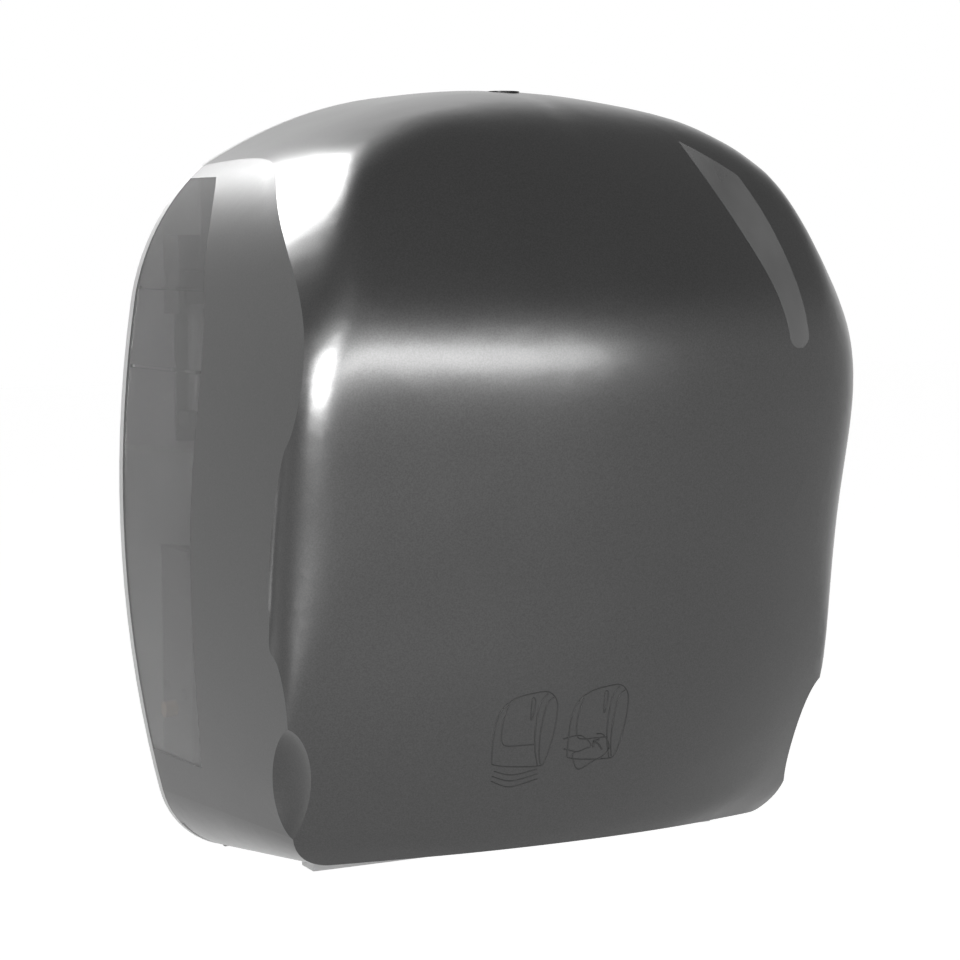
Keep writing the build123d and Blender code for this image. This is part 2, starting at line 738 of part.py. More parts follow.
def make_hubs():
    outer = arm_x + arm_thick
    body_end = hub_inner_x + hub_wide
    flange_end = body_end + hub_flange_thick
    hub = rod_x(hub_radius, hub_inner_x, body_end, roll_depth, roll_height)
    hub = chamfer(hub.edges().group_by(Axis.X)[0], hub_edge)
    hub = hub + rod_x(hub_flange_radius, body_end, flange_end, roll_depth, roll_height)
    hub = hub - rod_x(hub_radius - hub_wall, hub_inner_x - 1.0, body_end - 2.0, roll_depth, roll_height)
    hub = hub + rod_x(hub_neck_radius, flange_end, arm_x - arm_boss_high - loose_gap, roll_depth, roll_height)
    hub = hub + rod_x(hub_shaft_radius, body_end - 2.0, outer + shaft_end, roll_depth, roll_height)
    write("roll_hub_right", hub)
    write("roll_hub_left", other_side(hub))
    clip = rod_x(clip_radius, outer + clip_gap, outer + clip_gap + clip_thick, roll_depth, roll_height)
    clip = clip - rod_x(hub_shaft_radius, outer, outer + 2 * shaft_end, roll_depth, roll_height)
    write("hub_clip_right", clip)
    write("hub_clip_left", other_side(clip))


# Gears

def gear(teeth, x, d, z, bore, phase):
    """A spur gear about X. phase is the angle of one tooth from +Y towards +Z, in radians."""
    pitch_radius = gear_module * teeth / 2.0
    tip = pitch_radius + tooth_addendum * gear_module
    root = pitch_radius - tooth_dedendum * gear_module
    step = 2.0 * pi / teeth
    points = []
    for index in range(teeth):
        middle = phase + index * step
        for radius, share in ((root, -tooth_root_share), (tip, -tooth_tip_share),
                              (tip, tooth_tip_share), (root, tooth_root_share)):
            turn = middle + share * step
            points.append((-d + radius * cos(turn), z + radius * sin(turn)))
    face = Plane.YZ.offset(x) * make_face(Polyline(*points, close=True))
    wheel = extrude(face, amount=gear_width, dir=(1, 0, 0))
    return wheel - rod_x(bore, x - 1.0, x + gear_width + 1.0, d, z)


def idler_place():
    """Centre of the idler, which meshes with the roller gear in its own direction from it."""
    turn = radians(idler_direction)
    reach = gear_module * (roller_teeth + idler_teeth) / 2.0
    return feed_depth + reach * cos(turn), feed_height + reach * sin(turn)


def pinion_place():
    turn = radians(pinion_direction)
    reach = gear_module * (idler_teeth + pinion_teeth) / 2.0
    depth, height = idler_place()
    return depth + reach * cos(turn), height + reach * sin(turn)


def gear_phases():
    """First tooth angles of roller gear, idler and pinion, so that teeth meet gaps at rest."""
    first = pi - radians(idler_direction)
    second = pi - radians(pinion_direction)
    idler_phase = first + pi + pi / idler_teeth
    pitch = 2.0 * pi / idler_teeth
    lead = ((second - idler_phase) % pitch) / pitch
    return first, idler_phase, second + pi + (lead + 0.5) * 2.0 * pi / pinion_teeth


def make_gears():
    roller_phase, idler_phase, pinion_phase = gear_phases()
    idler = idler_place()
    pinion = pinion_place()
    x = -gear_x - gear_width
    plate_x = -mech_x - mech_thick
    write("roller_gear", gear(roller_teeth, x, feed_depth, feed_height, feed_shaft_radius, roller_phase))
    wheel = gear(idler_teeth, x, idler[0], idler[1], pinch_shaft_radius + running_gap, idler_phase)
    write("idler_gear", wheel)
    pin = rod_x(pinch_shaft_radius, x - idler_head_high, -mech_x, idler[0], idler[1])
    head = rod_x(idler_head_radius, x - idler_head_high, x - idler_head_gap, idler[0], idler[1])
    write("idler_pin", pin + head)
    write("motor_pinion", gear(pinion_teeth, x, pinion[0], pinion[1], motor_shaft_radius, pinion_phase))
    shaft_inner = -mech_x + motor_shaft_inside
    write("motor_shaft", rod_x(motor_shaft_radius, x - 1.0, shaft_inner, pinion[0], pinion[1]))
    motor_end = -mech_x + motor_length
    motor = rod_x(motor_radius, -mech_x, motor_end, pinion[0], pinion[1])
    motor = motor + rod_x(motor_boss_radius, motor_end, motor_end + motor_boss_high, pinion[0], pinion[1])
    motor = motor - rod_x(motor_shaft_radius + running_gap, -mech_x - 1.0, shaft_inner + 0.5,
                          pinion[0], pinion[1])
    write("motor", motor)
    rear, front, low = hood_box
    hood = block(x - hood_reach, plate_x, rear, front, low, mech_top)
    hood = hood - block(x - hood_reach + hood_wall, plate_x + 1.0, rear + hood_wall, front - hood_wall,
                        low + hood_wall, mech_top - hood_wall)
    write("gear_cover", hood)


# Feed mechanism

def make_mech_plates():
    """The two upright plates that carry the feed and pinch rollers, and the bushes in them."""
    outer = mech_x + mech_thick
    plate = block(mech_x, outer, chassis_front, mech_front, mech_bottom, mech_top)
    plate = plate - rod_x(bush_radius, 0.0, outer + 1.0, feed_depth, feed_height)
    plate = plate - rod_x(pinch_shaft_radius, 0.0, outer + 1.0, pinch_pivot_depth, pinch_pivot_height)
    write("mech_plate_right", plate)
    idler = idler_place()
    pinion = pinion_place()
    left = other_side(plate) - rod_x(pinch_shaft_radius, -outer - 1.0, 0.0, idler[0], idler[1])
    left = left - rod_x(motor_shaft_radius + 1.0, -outer - 1.0, 0.0, pinion[0], pinion[1])
    write("mech_plate_left", left)
    bush = rod_x(bush_radius, mech_x - 1.0, outer, feed_depth, feed_height)
    bush = bush + rod_x(bush_radius + bush_flange, mech_x - bush_flange_thick, mech_x,
                        feed_depth, feed_height)
    bush = bush - rod_x(feed_shaft_radius + running_gap, mech_x - 5.0, outer + 1.0, feed_depth, feed_height)
    write("feed_bushes", Compound(children=[other_side(bush), bush]))
    beam = block(-outer, outer, mech_front, beam_front, beam_heights[0], beam_heights[1])
    write("front_beam", beam)


def feed_ring(outer_radius, inner_radius, x0, x1):
    """A tube about the feed roller's axis."""
    bore = rod_x(inner_radius, x0 - 1.0, x1 + 1.0, feed_depth, feed_height)
    return rod_x(outer_radius, x0, x1, feed_depth, feed_height) - bore


def make_feed_roller():
    knob_end = knob_x + knob_wide
    shaft = rod_x(feed_shaft_radius, -gear_x - gear_width - 1.0, knob_end, feed_depth, feed_height)
    write("feed_shaft", shaft)
    write("feed_roller_core", feed_ring(feed_core_radius, feed_shaft_radius, -core_half, core_half))
    sleeves = [feed_ring(sleeve_radius, feed_core_radius, middle - sleeve_half, middle + sleeve_half)
               for middle in sleeve_middles]
    write("feed_sleeves", Compound(children=sleeves))
    knob = feed_ring(knob_radius, feed_shaft_radius, knob_x, knob_end)
    for index in range(knob_grooves):
        turn = 2.0 * pi * index / knob_grooves
        knob = knob - rod_x(knob_groove_radius, knob_x - 1.0, knob_end + 1.0,
                            feed_depth + knob_radius * cos(turn), feed_height + knob_radius * sin(turn))
    write("feed_knob", knob)


def make_pinch_roller():
    depth = feed_depth + sleeve_radius + pinch_radius + pinch_gap
    cheek_x = pinch_half + 1.0
    cheek_end = cheek_x + cheek_thick
    roller = rod_x(pinch_radius, -pinch_half, pinch_half, depth, feed_height)
    roller = roller + rod_x(pinch_shaft_radius, -cheek_end - 0.5, cheek_end + 0.5, depth, feed_height)
    write("pinch_roller", roller)
    cheek = block(cheek_x, cheek_end, depth - 5.0, pinch_pivot_depth + cheek_edge,
                  feed_height - cheek_edge, pinch_pivot_height + cheek_edge)
    cheek = cheek - rod_x(pinch_shaft_radius + running_gap, 0.0, mech_x, depth, feed_height)
    tie = block(-cheek_x - 1.0, cheek_x + 1.0, *tie_box)
    pivot_bore = rod_x(pinch_shaft_radius + running_gap, -mech_x, mech_x,
                       pinch_pivot_depth, pinch_pivot_height)
    write("pinch_frame", cheek + other_side(cheek) + tie - pivot_bore)
    rod_end = mech_x + mech_thick
    rod = rod_x(pinch_shaft_radius, -rod_end, rod_end, pinch_pivot_depth, pinch_pivot_height)
    write("pinch_pivot_rod", rod)
    springs = []
    for x in (-spring_x, spring_x):
        coil = rod_x(spring_radius, x - spring_half, x + spring_half, pinch_pivot_depth, pinch_pivot_height)
        springs.append(coil - rod)
    write("pinch_springs", Compound(children=springs))


# Outlet

def make_chute():
    walls = block(-chute_half, chute_half, chute_rear, chute_front, chute_bottom, chute_top)
    inside = block(-chute_half + chute_wall, chute_half - chute_wall, chute_rear + chute_wall,
                   chute_front - chute_wall, chute_bottom - 1.0, chute_top + 1.0)
    rear_cut = block(-chute_half - 1.0, chute_half + 1.0, chute_rear - 1.0, chute_front - front_lip,
                     chute_bottom - 1.0, chute_bottom + blade_rise)
    chute = walls - inside - rear_cut
    for side in (-1, 1):
        chute = chute + block(side * chute_half, side * mech_x, chute_rear + chute_ear,
                              chute_front - chute_ear, mech_bottom, chute_top)
    write("paper_chute", chute)


def make_tear_bar():
    low = chute_bottom + blade_rise
    high = low + blade_high
    points = [(-blade_half, high), (-blade_half, low + tooth_height)]
    for index in range(int(2 * blade_half / tooth_pitch)):
        x = -blade_half + index * tooth_pitch
        points.append((x + tooth_pitch / 2, low))
        points.append((x + tooth_pitch, low + tooth_height))
    points.append((blade_half, high))
    face = Plane.XZ.offset(chute_front - chute_wall - blade_thick) * make_face(Polyline(*points, close=True))
    write("tear_bar", extrude(face, amount=blade_thick, dir=(0, -1, 0)))


def make_paper_guide():
    face = Plane.YZ.offset(-guide_half) * make_face(Polyline(*guide_section, close=True))
    write("paper_guide", extrude(face, amount=2 * guide_half, dir=(1, 0, 0)))


# Batteries and controls

def battery_box_low():
    return cell_rows[1] - cell_radius - 0.5 - box_wall


def make_battery_box():
    inside = cell_length + cell_gap + box_wall
    half = inside + box_side - cell_gap
    low = battery_box_low()
    high = cell_rows[0] + cell_radius + 0.5 + box_wall
    front = cell_depth + cell_radius + 1.0
    box = block(-half, half, beam_front, front, low, high)
    box = box - block(-inside + cell_gap, inside - cell_gap, beam_front + 3.0, front + 1.0,
                      low + box_wall, high - box_wall)
    write("battery_box", box)
    write("battery_lid", block(-half, half, front, front + lid_thick, low, high))
    cells = []
    contacts = []
    for z in cell_rows:
        for side in (-1, 1):
            start = side * cell_gap
            end = start + side * cell_length
            cells.append(rod_x(cell_radius, start, end, cell_depth, z))
            contacts.append(block(end, end + side * contact_thick, cell_depth - contact_half,
                                  cell_depth + contact_half, z - contact_half, z + contact_half))
    write("battery_cells", Compound(children=cells))
    write("battery_contacts", Compound(children=contacts))


def make_controls():
    """Panel with the feed button and the slide that sets the length of a sheet."""
    x0, x1, high = panel_edges
    low = battery_box_low()
    panel = block(x0, x1, beam_front, beam_front + panel_thick, low, high)
    panel = panel - block(x0 + 2.0, x1 - 2.0, beam_front - 1.0, beam_front + panel_thick - 2.0,
                          low + 2.0, selector_place[1] + 10.0)
    panel = panel - rod_y(button_radius + loose_gap, beam_front - 1.0, beam_front + 10.0, *button_place)
    x, z = selector_place
    long_half = selector_half + loose_gap
    slot = block(x - long_half, x + selector_travel + long_half, beam_front - 1.0, beam_front + 10.0,
                 z - selector_high - loose_gap, z + selector_high + loose_gap)
    write("control_panel", panel - slot)
    button = rod_y(button_radius, beam_front + button_travel + 0.4, beam_front + button_reach, *button_place)
    write("feed_button", button)
    slider = block(x - selector_half, x + selector_half, beam_front + 2.3, beam_front + 4.5,
                   z - selector_high, z + selector_high)
    slider = slider + block(x - 2.0, x + 2.0, beam_front + 4.5, beam_front + 7.0,
                            z - selector_high, z + selector_high)
    write("length_selector", slider)


def make_board():
    rear = beam_front + post_long
    front = rear + board_thick
    x0, x1, low, high = board_edges
    write("circuit_board", block(x0, x1, rear, front, low, high))
    posts = [rod_y(board_post_radius, beam_front, rear, x, z)
             for x in (x0 + 4.0, x1 - 4.0) for z in (high - 4.0, high - 30.0)]
    write("board_posts", Compound(children=posts))
    parts = [block(x, x + wide, front, front + high_part, z, z + tall)
             for x, z, wide, tall, high_part in board_blocks]
    x, z, radius, long = board_can
    parts.append(rod_y(radius, front, front + long, x, z))
    write("board_parts", Compound(children=parts))


def make_sensor():
    rear = beam_front + panel_thick
    front = beam_front + sensor_reach
    middle = (rear + front) / 2.0
    high = battery_box_low()
    housing = block(-sensor_half, sensor_half, rear, front, sensor_low, high)
    housing = housing - block(-sensor_half + box_wall, sensor_half - box_wall, rear + box_wall,
                              front - box_wall, sensor_low + box_wall, high + 1.0)
    housing = housing - rod_z(sensor_radius, sensor_low - 1.0, sensor_low + 3.0, 0.0, middle)
    write("sensor_housing", housing)
    write("sensor_lens", rod_z(sensor_radius, sensor_low - 0.8, sensor_low + 4.0, 0.0, middle))


make_cover()
make_lock()
make_latch_post()
make_back_shell()
make_chassis()
make_side_frames()
make_arm_mount()
make_arms()
make_hubs()
make_gears()
make_mech_plates()
make_feed_roller()
make_pinch_roller()
make_chute()
make_tear_bar()
make_paper_guide()
make_battery_box()
make_controls()
make_board()
make_sensor()
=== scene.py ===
import math

import bpy
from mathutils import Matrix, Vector
from mathutils.bvhtree import BVHTree


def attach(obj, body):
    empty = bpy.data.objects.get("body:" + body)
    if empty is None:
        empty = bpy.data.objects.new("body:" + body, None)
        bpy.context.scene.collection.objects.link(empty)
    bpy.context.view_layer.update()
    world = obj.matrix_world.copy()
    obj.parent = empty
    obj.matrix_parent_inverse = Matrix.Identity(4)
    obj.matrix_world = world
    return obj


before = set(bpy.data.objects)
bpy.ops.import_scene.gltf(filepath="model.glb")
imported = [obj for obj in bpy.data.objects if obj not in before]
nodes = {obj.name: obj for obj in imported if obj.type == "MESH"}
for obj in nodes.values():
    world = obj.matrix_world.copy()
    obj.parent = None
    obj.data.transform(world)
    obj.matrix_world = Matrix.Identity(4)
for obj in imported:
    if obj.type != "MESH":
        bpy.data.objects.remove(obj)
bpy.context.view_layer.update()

MM = 0.001

# Camera, as fitted to the photograph's view
camera_azimuth = math.radians(-27.0)
camera_rise = math.radians(5.7)
camera_distance = 1.230
camera_lens = 91.5
camera_sensor = 36.0
camera_aim = Vector((0.0, -0.0694, 0.0))

# Floor and backdrop. The ceiling's reach is the part of a ray's way over which it fades in.
floor_height = -0.52
floor_half = 9.0
floor_glow = 0.5
world_level = 0.55
ceiling_level = 0.74
ceiling_height = (0.1, 0.5)
ceiling_depth = (0.3, 0.8)

# Lamps: azimuth and rise in degrees, distance, width and height in metres, power in watts
key_lamp = (-35.0, 40.0, 2.2, 1.6, 1.6, 14.0)
gloss_cards = {
    "front_strip": (-8.0, 6.0, 2.2, 2.6, 0.42, 56.0),
    "left_strip": (-56.0, 5.0, 2.0, 0.6, 0.7, 74.0),
    "shoulder_card": (-152.0, 40.0, 2.0, 1.1, 0.5, 45.0),
}

# Looks that more than one line uses
paint_tones = (0.27, 0.30)
paint_roughness = 0.3
paint_cloudiness = 0.015
smoke_tones = (0.53, 0.57)
plastic_index = 1.46
plastic_roughness_spread = 0.05
metal_roughness_spread = 0.08
smooth_angle = math.radians(32)


def linear(level):
    """The linear value of a tone from 0 to 1 as a screen shows it."""
    if level <= 0.04045:
        return level / 12.92
    return ((level + 0.055) / 1.055) ** 2.4


def grey(level):
    value = linear(level)
    return (value, value, value, 1.0)


def colour(red, green, blue):
    return (linear(red), linear(green), linear(blue), 1.0)


# Node helpers
def new_material(name, base, roughness, metallic=0.0):
    material = bpy.data.materials.new(name)
    material.use_nodes = True
    tree = material.node_tree
    shader = tree.nodes["Principled BSDF"]
    shader.inputs["Base Color"].default_value = base
    shader.inputs["Roughness"].default_value = roughness
    shader.inputs["Metallic"].default_value = metallic
    return material, tree, shader


def place_vector(tree, stretch=(1.0, 1.0, 1.0)):
    """Object coordinates in metres, stretched, so that textures keep their real scale."""
    coordinates = tree.nodes.new("ShaderNodeTexCoord")
    mapping = tree.nodes.new("ShaderNodeMapping")
    mapping.inputs["Scale"].default_value = stretch
    tree.links.new(coordinates.outputs["Object"], mapping.inputs["Vector"])
    return mapping.outputs["Vector"]


def noise(tree, size, detail=3.0, stretch=(1.0, 1.0, 1.0)):
    """Noise whose patches are about size metres across."""
    texture = tree.nodes.new("ShaderNodeTexNoise")
    texture.inputs["Scale"].default_value = 1.0 / size
    texture.inputs["Detail"].default_value = detail
    tree.links.new(place_vector(tree, stretch), texture.inputs["Vector"])
    return texture.outputs["Fac"]


def between(tree, factor, low, high, start=0.3, end=0.7):
    """Runs from the colour low to the colour high as factor goes from start to end."""
    ramp = tree.nodes.new("ShaderNodeValToRGB")
    ramp.color_ramp.elements[0].position = start
    ramp.color_ramp.elements[0].color = low
    ramp.color_ramp.elements[1].position = end
    ramp.color_ramp.elements[1].color = high
    tree.links.new(factor, ramp.inputs["Fac"])
    return ramp.outputs["Color"]


def number_between(tree, factor, low, high, start=0.3, end=0.7):
    span = tree.nodes.new("ShaderNodeMapRange")
    span.inputs["From Min"].default_value = start
    span.inputs["From Max"].default_value = end
    span.inputs["To Min"].default_value = low
    span.inputs["To Max"].default_value = high
    tree.links.new(factor, span.inputs["Value"])
    return span.outputs["Result"]


def add_bump(tree, shader, height, distance, strength=1.0):
    bump = tree.nodes.new("ShaderNodeBump")
    bump.inputs["Distance"].default_value = distance
    bump.inputs["Strength"].default_value = strength
    tree.links.new(height, bump.inputs["Height"])
    tree.links.new(bump.outputs["Normal"], shader.inputs["Normal"])


# Materials
def titanium_paint():
    """Satin metallic paint: fine flakes, a slight cloudiness and faint orange peel."""
    material, tree, shader = new_material("titanium_paint", grey(0.285), paint_roughness, 0.92)
    flakes = noise(tree, 0.0007, 1.0)
    base = between(tree, flakes, grey(paint_tones[0]), grey(paint_tones[1]))
    tree.links.new(base, shader.inputs["Base Color"])
    clouds = noise(tree, 0.05, 2.0)
    satin = number_between(tree, clouds, paint_roughness - paint_cloudiness,
                           paint_roughness + paint_cloudiness)
    tree.links.new(satin, shader.inputs["Roughness"])
    add_bump(tree, shader, noise(tree, 0.004, 1.0), 0.00001, 0.5)
    shader.inputs["Coat Weight"].default_value = 0.12
    shader.inputs["Coat Roughness"].default_value = 0.15
    return material


def smoked_window():
    """Clear smoked plastic with a polished face and slight waviness from moulding."""
    material, tree, shader = new_material("smoked_window", grey(0.60), 0.04)
    shader.inputs["Transmission Weight"].default_value = 1.0
    shader.inputs["IOR"].default_value = plastic_index
    shader.inputs["Specular IOR Level"].default_value = 0.25
    tint = between(tree, noise(tree, 0.08, 1.0), grey(smoke_tones[0]), grey(smoke_tones[1]))
    tree.links.new(tint, shader.inputs["Base Color"])
    rough = number_between(tree, noise(tree, 0.02, 3.0), 0.03, 0.07)
    tree.links.new(rough, shader.inputs["Roughness"])
    add_bump(tree, shader, noise(tree, 0.03, 1.0), 0.00002, 0.3)
    return material


def level_glass():
    """The narrow level window: about a third clear, with a soft coat."""
    material, tree, shader = new_material("level_glass", grey(0.42), 0.1)
    shader.inputs["Transmission Weight"].default_value = 0.35
    shader.inputs["IOR"].default_value = plastic_index
    shader.inputs["Coat Weight"].default_value = 0.5
    streaks = noise(tree, 0.03, 2.0, (1.0, 1.0, 0.25))
    tree.links.new(between(tree, streaks, grey(0.36), grey(0.46)), shader.inputs["Base Color"])
    add_bump(tree, shader, noise(tree, 0.02, 1.0), 0.00002, 0.4)
    return material


def moulded_plastic(name, base, roughness, grain=0.0009, depth=0.00002):
    """Injection-moulded plastic: spark grain in the bump, faint flow clouds in the colour."""
    material, tree, shader = new_material(name, base, roughness)
    darker = tuple(value * 0.93 for value in base[:3]) + (1.0,)
    lighter = tuple(min(1.0, value * 1.06) for value in base[:3]) + (1.0,)
    clouds = noise(tree, 0.03, 3.0)
    tree.links.new(between(tree, clouds, darker, lighter), shader.inputs["Base Color"])
    fine = noise(tree, grain, 2.0)
    rough = number_between(tree, fine, roughness - plastic_roughness_spread,
                           roughness + plastic_roughness_spread)
    tree.links.new(rough, shader.inputs["Roughness"])
    add_bump(tree, shader, fine, depth, 0.6)
    return material


def brushed_metal(name, base, roughness, stretch):
    """Sheet or turned metal with fine scratches drawn out along one way."""
    material, tree, shader = new_material(name, base, roughness, 1.0)
    scratches = noise(tree, 0.0012, 4.0, stretch)
    darker = tuple(value * 0.85 for value in base[:3]) + (1.0,)
    tree.links.new(between(tree, scratches, darker, base), shader.inputs["Base Color"])
    rough = number_between(tree, scratches, roughness - metal_roughness_spread,
                           roughness + metal_roughness_spread)
    tree.links.new(rough, shader.inputs["Roughness"])
    add_bump(tree, shader, scratches, 0.00001, 0.4)
    return material


def rubber():
    material, tree, shader = new_material("roller_rubber", grey(0.17), 0.75)
    shader.inputs["Specular IOR Level"].default_value = 0.3
    grains = noise(tree, 0.0006, 3.0)
    tree.links.new(between(tree, grains, grey(0.14), grey(0.2)), shader.inputs["Base Color"])
    add_bump(tree, shader, grains, 0.00004, 0.8)
    return material


def circuit_board():
    material, tree, shader = new_material("circuit_board", colour(0.10, 0.32, 0.18), 0.4)
    lines = noise(tree, 0.002, 0.0, (1.0, 1.0, 4.0))
    dark_green = colour(0.07, 0.25, 0.14)
    light_green = colour(0.16, 0.42, 0.24)
    board = between(tree, lines, dark_green, light_green, 0.48, 0.52)
    tree.links.new(board, shader.inputs["Base Color"])
    add_bump(tree, shader, lines, 0.00003, 0.5)
    return material


def cell_sleeve():
    """Sleeve of a battery: dark, with faint streaks along it."""
    material, tree, shader = new_material("cell_sleeve", grey(0.2), 0.35)
    streaks = noise(tree, 0.004, 2.0, (0.2, 1.0, 1.0))
    tree.links.new(between(tree, streaks, grey(0.17), grey(0.24)), shader.inputs["Base Color"])
    add_bump(tree, shader, streaks, 0.00001, 0.4)
    return material


def dark_lens():
    material, tree, shader = new_material("dark_lens", colour(0.12, 0.03, 0.04), 0.08)
    shader.inputs["Coat Weight"].default_value = 0.6
    clouds = noise(tree, 0.006, 2.0)
    tree.links.new(
        between(tree, clouds, colour(0.09, 0.02, 0.03), colour(0.16, 0.05, 0.06)),
        shader.inputs["Base Color"],
    )
    return material


def print_ink():
    material, tree, shader = new_material("print_ink", grey(0.05), 0.7)
    patches = noise(tree, 0.001, 2.0)
    tree.links.new(between(tree, patches, grey(0.03), grey(0.07)), shader.inputs["Base Color"])
    return material


slot_materials = {
    "cover_shell": titanium_paint(),
    "window_smoke": smoked_window(),
    "shell_grey": moulded_plastic("shell_grey", grey(0.80), 0.38),
    "frame_plastic": moulded_plastic("frame_plastic", grey(0.52), 0.5),
    "beige_plastic": moulded_plastic("beige_plastic", colour(0.78, 0.70, 0.62), 0.45),
    "arm_plastic": moulded_plastic("arm_plastic", grey(0.62), 0.45),
    "hub_plastic": moulded_plastic("hub_plastic", grey(0.60), 0.4),
    "light_plastic": moulded_plastic("light_plastic", grey(0.86), 0.42),
    "steel": brushed_metal("steel", grey(0.76), 0.32, (0.05, 1.0, 1.0)),
    "lock_metal": brushed_metal("lock_metal", grey(0.12), 0.4, (1.0, 1.0, 0.1)),
    "gear_nylon": moulded_plastic("gear_nylon", grey(0.88), 0.45),
    "roller_rubber": rubber(),
    "motor_can": brushed_metal("motor_can", grey(0.66), 0.35, (0.05, 1.0, 1.0)),
    "cell_wrap": cell_sleeve(),
    "contact_metal": brushed_metal("contact_metal", colour(0.82, 0.72, 0.5), 0.3, (1.0, 0.1, 1.0)),
    "button_plastic": moulded_plastic("button_plastic", colour(0.20, 0.34, 0.55), 0.35),
    "board_green": circuit_board(),
    "chip_black": moulded_plastic("chip_black", grey(0.14), 0.5),
    "lens_dark": dark_lens(),
}

own_materials = {"level_window": level_glass()}

slot_nodes = {
    "cover_shell": ["front_cover"],
    "window_smoke": ["side_window_left", "side_window_right", "level_window"],
    "shell_grey": ["back_shell"],
    "frame_plastic": ["chassis", "side_frame_left", "side_frame_right", "upper_frames",
                      "front_beam", "gear_cover", "arm_brackets", "latch_post",
                      "sensor_housing", "battery_box", "battery_lid"],
    "beige_plastic": ["frame_pins", "paper_guide"],
    "arm_plastic": ["roll_arm_left", "roll_arm_right"],
    "hub_plastic": ["roll_hub_left", "roll_hub_right", "feed_knob"],
    "light_plastic": ["paper_chute", "control_panel"],
    "lock_metal": ["lock_barrel", "lock_core", "lock_cam", "lock_nut"],
    "gear_nylon": ["roller_gear", "idler_gear", "motor_pinion", "feed_bushes",
                   "feed_roller_core"],
    "roller_rubber": ["feed_sleeves", "pinch_roller"],
    "motor_can": ["motor"],
    "cell_wrap": ["battery_cells"],
    "contact_metal": ["battery_contacts"],
    "button_plastic": ["feed_button", "length_selector"],
    "board_green": ["circuit_board"],
    "chip_black": ["board_parts", "board_posts"],
    "lens_dark": ["sensor_lens"],
}


def dress_nodes():
    """Every CAD node gets its slot's material; any node not listed is steel."""
    slot_of = {name: slot for slot, names in slot_nodes.items() for name in names}
    for name, node in nodes.items():
        material = own_materials.get(name, slot_materials[slot_of.get(name, "steel")])
        node.data.materials.clear()
        node.data.materials.append(material)
        node.data.shade_smooth()
        bpy.context.view_layer.objects.active = node
        node.select_set(True)
        bpy.ops.object.shade_smooth_by_angle(angle=smooth_angle)
        node.select_set(False)


dress_nodes()

# Printed pictures on the front panel
ink = print_ink()
print_lift = 0.05 * MM
line_radius = 0.3 * MM
curve_steps = 8
ray_start = 0.4


def surface_tree(name):
    mesh = nodes[name].data
    corners = [vertex.co.copy() for vertex in mesh.vertices]
    faces = [tuple(face.vertices) for face in mesh.polygons]
    return BVHTree.FromPolygons(corners, faces)


cover_surface = surface_tree("front_cover")


def on_panel(x, z):
    """The point of the front panel that is straight behind x, z (in mm)."""
    start = Vector((x * MM, -ray_start, z * MM))
    hit, normal, face, distance = cover_surface.ray_cast(start, Vector((0, 1, 0)))
    if normal.y > 0:
        normal = -normal
    return hit + normal * print_lift


def through(points, closed):
    """A smooth line through the points, as points a short way apart."""
    count = len(points)
    spans = count if closed else count - 1
    line = []
    for span in range(spans):
        if closed:
            four = [points[(span + shift) % count] for shift in (-1, 0, 1, 2)]
        else:
            four = [points[min(max(span + shift, 0), count - 1)] for shift in (-1, 0, 1, 2)]
        for step in range(curve_steps):
            t = step / curve_steps
            weights = (
                -0.5 * t + t * t - 0.5 * t ** 3,
                1 - 2.5 * t * t + 1.5 * t ** 3,
                0.5 * t + 2 * t * t - 1.5 * t ** 3,
                -0.5 * t * t + 0.5 * t ** 3,
            )
            line.append(tuple(
                sum(weight * point[axis] for weight, point in zip(weights, four))
                for axis in (0, 1)
            ))
    if not closed:
        line.append(points[-1])
    return line


def print_lines(name, centre, strokes, radius=line_radius):
    """Thin ink lines on the panel. A stroke is its points, and whether it closes."""
    curve = bpy.data.curves.new(name, "CURVE")
    curve.dimensions = "3D"
    curve.bevel_depth = radius
    curve.bevel_resolution = 1
    for points, closed in strokes:
        line = through(points, closed)
        spline = curve.splines.new("POLY")
        spline.points.add(len(line) - 1)
        for index, (x, z) in enumerate(line):
            spline.points[index].co = (*on_panel(centre[0] + x, centre[1] + z), 1.0)
        spline.use_cyclic_u = closed
    curve.materials.append(ink)
    piece = bpy.data.objects.new(name, curve)
    bpy.context.scene.collection.objects.link(piece)
    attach(piece, "cover")
    return piece


small_dispenser = [
    ([(-14, -13), (-14.5, 2), (-12, 11), (-6, 16), (3, 18), (10, 18), (14.5, 13), (15, 3),
      (14, -7), (12, -16), (9, -18), (-2, -17.5), (-12, -16)], True),
    ([(9.5, 17.5), (6, 12), (5.2, 0), (6.5, -10), (8.8, -17.5)], False),
    ([(13, 15.5), (9.5, 12), (8, 0), (8.5, -10), (10, -17)], False),
    ([(2, 15), (3.6, 14.5), (3.4, 8), (2.4, 5.5)], True),
    ([(-9, 13), (-11, 4), (-9.5, -6), (0, -7), (6, -7)], False),
]
paper_below = [
    ([(-12, -19), (-3, -21.5), (9, -19.5)], False),
    ([(-12.5, -21.5), (-3, -24.5), (9.5, -22)], False),
    ([(-12.5, -24), (-3, -27.5), (10, -24.5)], False),
]
waving_hand = [
    ([(-17, -6), (-9, -5), (-4, -8), (-2, -11), (-5, -12), (-9, -13), (-16, -11)], False),
    ([(-10, -13), (-11, -15), (-7, -22), (0, -19), (6, -16), (8, -12), (4, -6), (0, -5)], False),
]
arrow = [([(4, -13), (2, -10.5), (-1, -8.5)], False), ([(-1, -8.5), (2, -8)], False),
         ([(-1, -8.5), (-0.6, -11.5)], False)]

paper_place = (-39.5, -102.5)
hand_place = (-2.5, -102.0)
arrow_radius = 0.45 * MM

print_lines("picture_paper", paper_place, small_dispenser + paper_below)
print_lines("picture_hand", hand_place, small_dispenser + waving_hand)
print_lines("picture_arrow", hand_place, arrow, arrow_radius)


